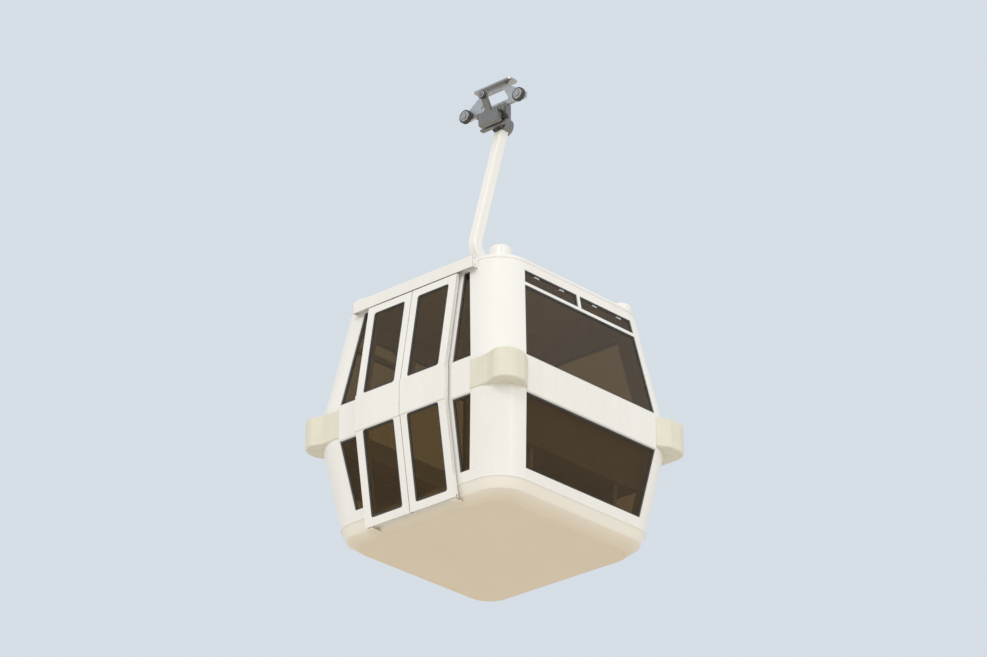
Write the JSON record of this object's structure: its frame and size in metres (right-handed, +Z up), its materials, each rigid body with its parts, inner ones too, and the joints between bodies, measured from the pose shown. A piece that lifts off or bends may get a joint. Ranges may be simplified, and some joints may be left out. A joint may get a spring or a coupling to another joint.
{
  "type": "cable car cabin",
  "caption": "Closed gondola cabin with sliding double doors, wrap-round windows, corner bumpers, end benches, a cranked hanger arm and a spring-closed rope grip.",
  "frame": {"origin": "on the rope's axis, at the middle of the grip's jaws", "axes": "+X along the rope, +Z up, the sliding doors on the -Y side"},
  "size_m": [2.266, 2.228, 4.239],
  "materials": {
    "white_paint": "gloss white paint",
    "pan_paint": "satin light grey-beige paint",
    "bumper": "moulded light grey-green pad",
    "glass": "smoke tinted pane",
    "deck": "ribbed dark floor covering",
    "bench": "moulded bench shell",
    "aluminium": "extruded aluminium",
    "steel": "machined steel",
    "cast": "cast steel",
    "zinc": "galvanised steel",
    "rubber": "black rubber"
  },
  "bodies": {
    "grip": {"grip_body": "cast", "jaw_pin": "steel", "hanger_shaft": "steel", "carriage_arch": "zinc", "roller_axles": "steel", "friction_plate": "steel", "spring_pack": "cast"},
    "front_roller_body": {"front_roller": "rubber"},
    "rear_roller_body": {"rear_roller": "rubber"},
    "jaw": {"moving_jaw": "cast"},
    "lever_roller_body": {"lever_roller": "rubber"},
    "left_door": {"left_door_frame": "white_paint", "left_door_glass": "glass", "left_door_runners": "steel"},
    "right_door": {"right_door_frame": "white_paint", "right_door_glass": "glass", "right_door_runners": "steel"},
    "cabin": {"corner_posts": "white_paint", "front_end_rails": "white_paint", "rear_end_rails": "white_paint", "back_rails": "white_paint", "door_side_rails": "white_paint", "door_jambs": "white_paint", "front_windows": "glass", "rear_windows": "glass", "back_windows": "glass", "side_lights": "glass", "corner_bumpers": "bumper", "floor_pan": "pan_paint", "floor_deck": "deck", "door_sill": "aluminium", "roof_panel": "white_paint", "roof_caps": "white_paint", "front_bench_seat": "bench", "front_bench_back": "bench", "rear_bench_seat": "bench", "rear_bench_back": "bench", "bench_legs": "aluminium", "door_track": "white_paint", "door_guides": "pan_paint", "roof_dampers": "rubber", "suspension_frame": "white_paint", "hanger_arm": "white_paint", "hanger_hub": "cast"}
  },
  "joints": [
    {"name": "cabin_swing", "type": "hinge", "parent": "grip", "child": "cabin", "pos_m": [0, 0.12, 0], "axis": [0, 1, 0], "range_deg": [-30, 30]},
    {"name": "front_roller_spin", "type": "hinge", "parent": "grip", "child": "front_roller_body", "pos_m": [0.3, -0.015, 0.145], "axis": [0, 1, 0], "continuous": true},
    {"name": "rear_roller_spin", "type": "hinge", "parent": "grip", "child": "rear_roller_body", "pos_m": [-0.3, -0.015, 0.145], "axis": [0, 1, 0], "continuous": true},
    {"name": "jaw_open", "type": "hinge", "parent": "grip", "child": "jaw", "pos_m": [0, -0.046, 0.07], "axis": [-1, 0, 0], "range_deg": [0, 18], "stiffness_Nm_per_rad": 300, "springref_deg": -20.05},
    {"name": "lever_roller_spin", "type": "hinge", "parent": "jaw", "child": "lever_roller_body", "pos_m": [0, -0.141, 0.2], "axis": [0, 1, 0], "continuous": true},
    {"name": "left_door_slide", "type": "slide", "parent": "cabin", "child": "left_door", "axis": [-1, 0, 0], "range_m": [0, 0.4]},
    {"name": "right_door_slide", "type": "slide", "parent": "cabin", "child": "right_door", "axis": [1, 0, 0], "range_m": [0, 0.4]}
  ],
  "couplings": [
    {"joint": "right_door_slide", "follows": "left_door_slide", "ratio": 1}
  ]
}
